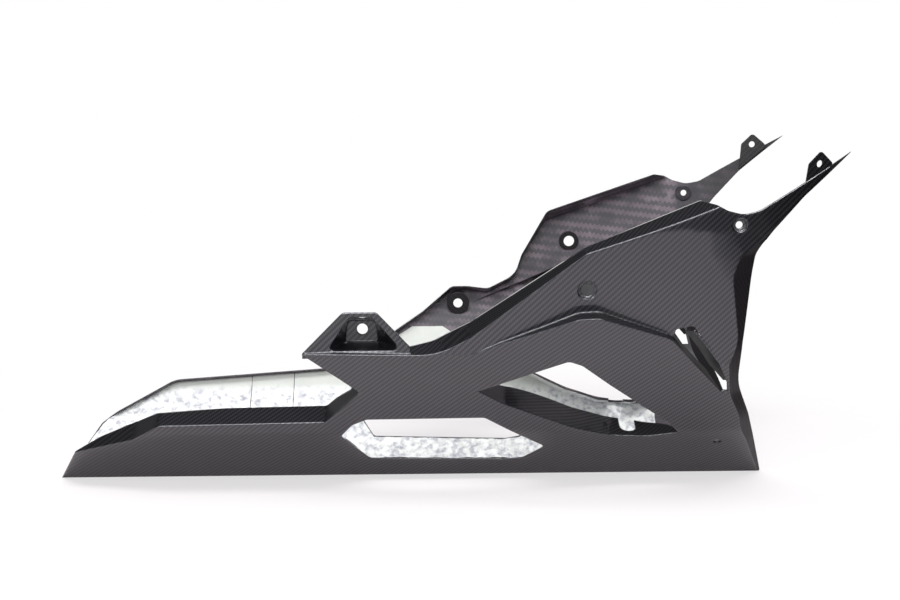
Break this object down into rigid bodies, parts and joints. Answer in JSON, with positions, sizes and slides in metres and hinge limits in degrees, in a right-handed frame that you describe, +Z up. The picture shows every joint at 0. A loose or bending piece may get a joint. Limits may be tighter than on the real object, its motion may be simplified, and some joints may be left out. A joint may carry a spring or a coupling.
{
  "type": "motorcycle belly pan",
  "caption": "Moulded carbon belly pan with side windows, shelf-like flanges, front wings, fixing ears and a heat-foil lining",
  "frame": {"origin": "middle of the bounding box at the level of the flat keel", "axes": "+X towards the front wheel, +Y to the left of the motorcycle, +Z up"},
  "size_m": [0.784, 0.3658, 0.3418],
  "materials": {
    "carbon": "clear-coated twill carbon-fibre laminate",
    "carbon_plate": "carbon-fibre plate",
    "foil": "crinkled heat-reflecting foil"
  },
  "bodies": {
    "root": {"carbon_shell": "carbon", "tab_right": "carbon_plate", "tab_left": "carbon_plate", "foil_rear": "foil", "foil_strip": "foil", "foil_main": "foil"}
  },
  "joints": []
}
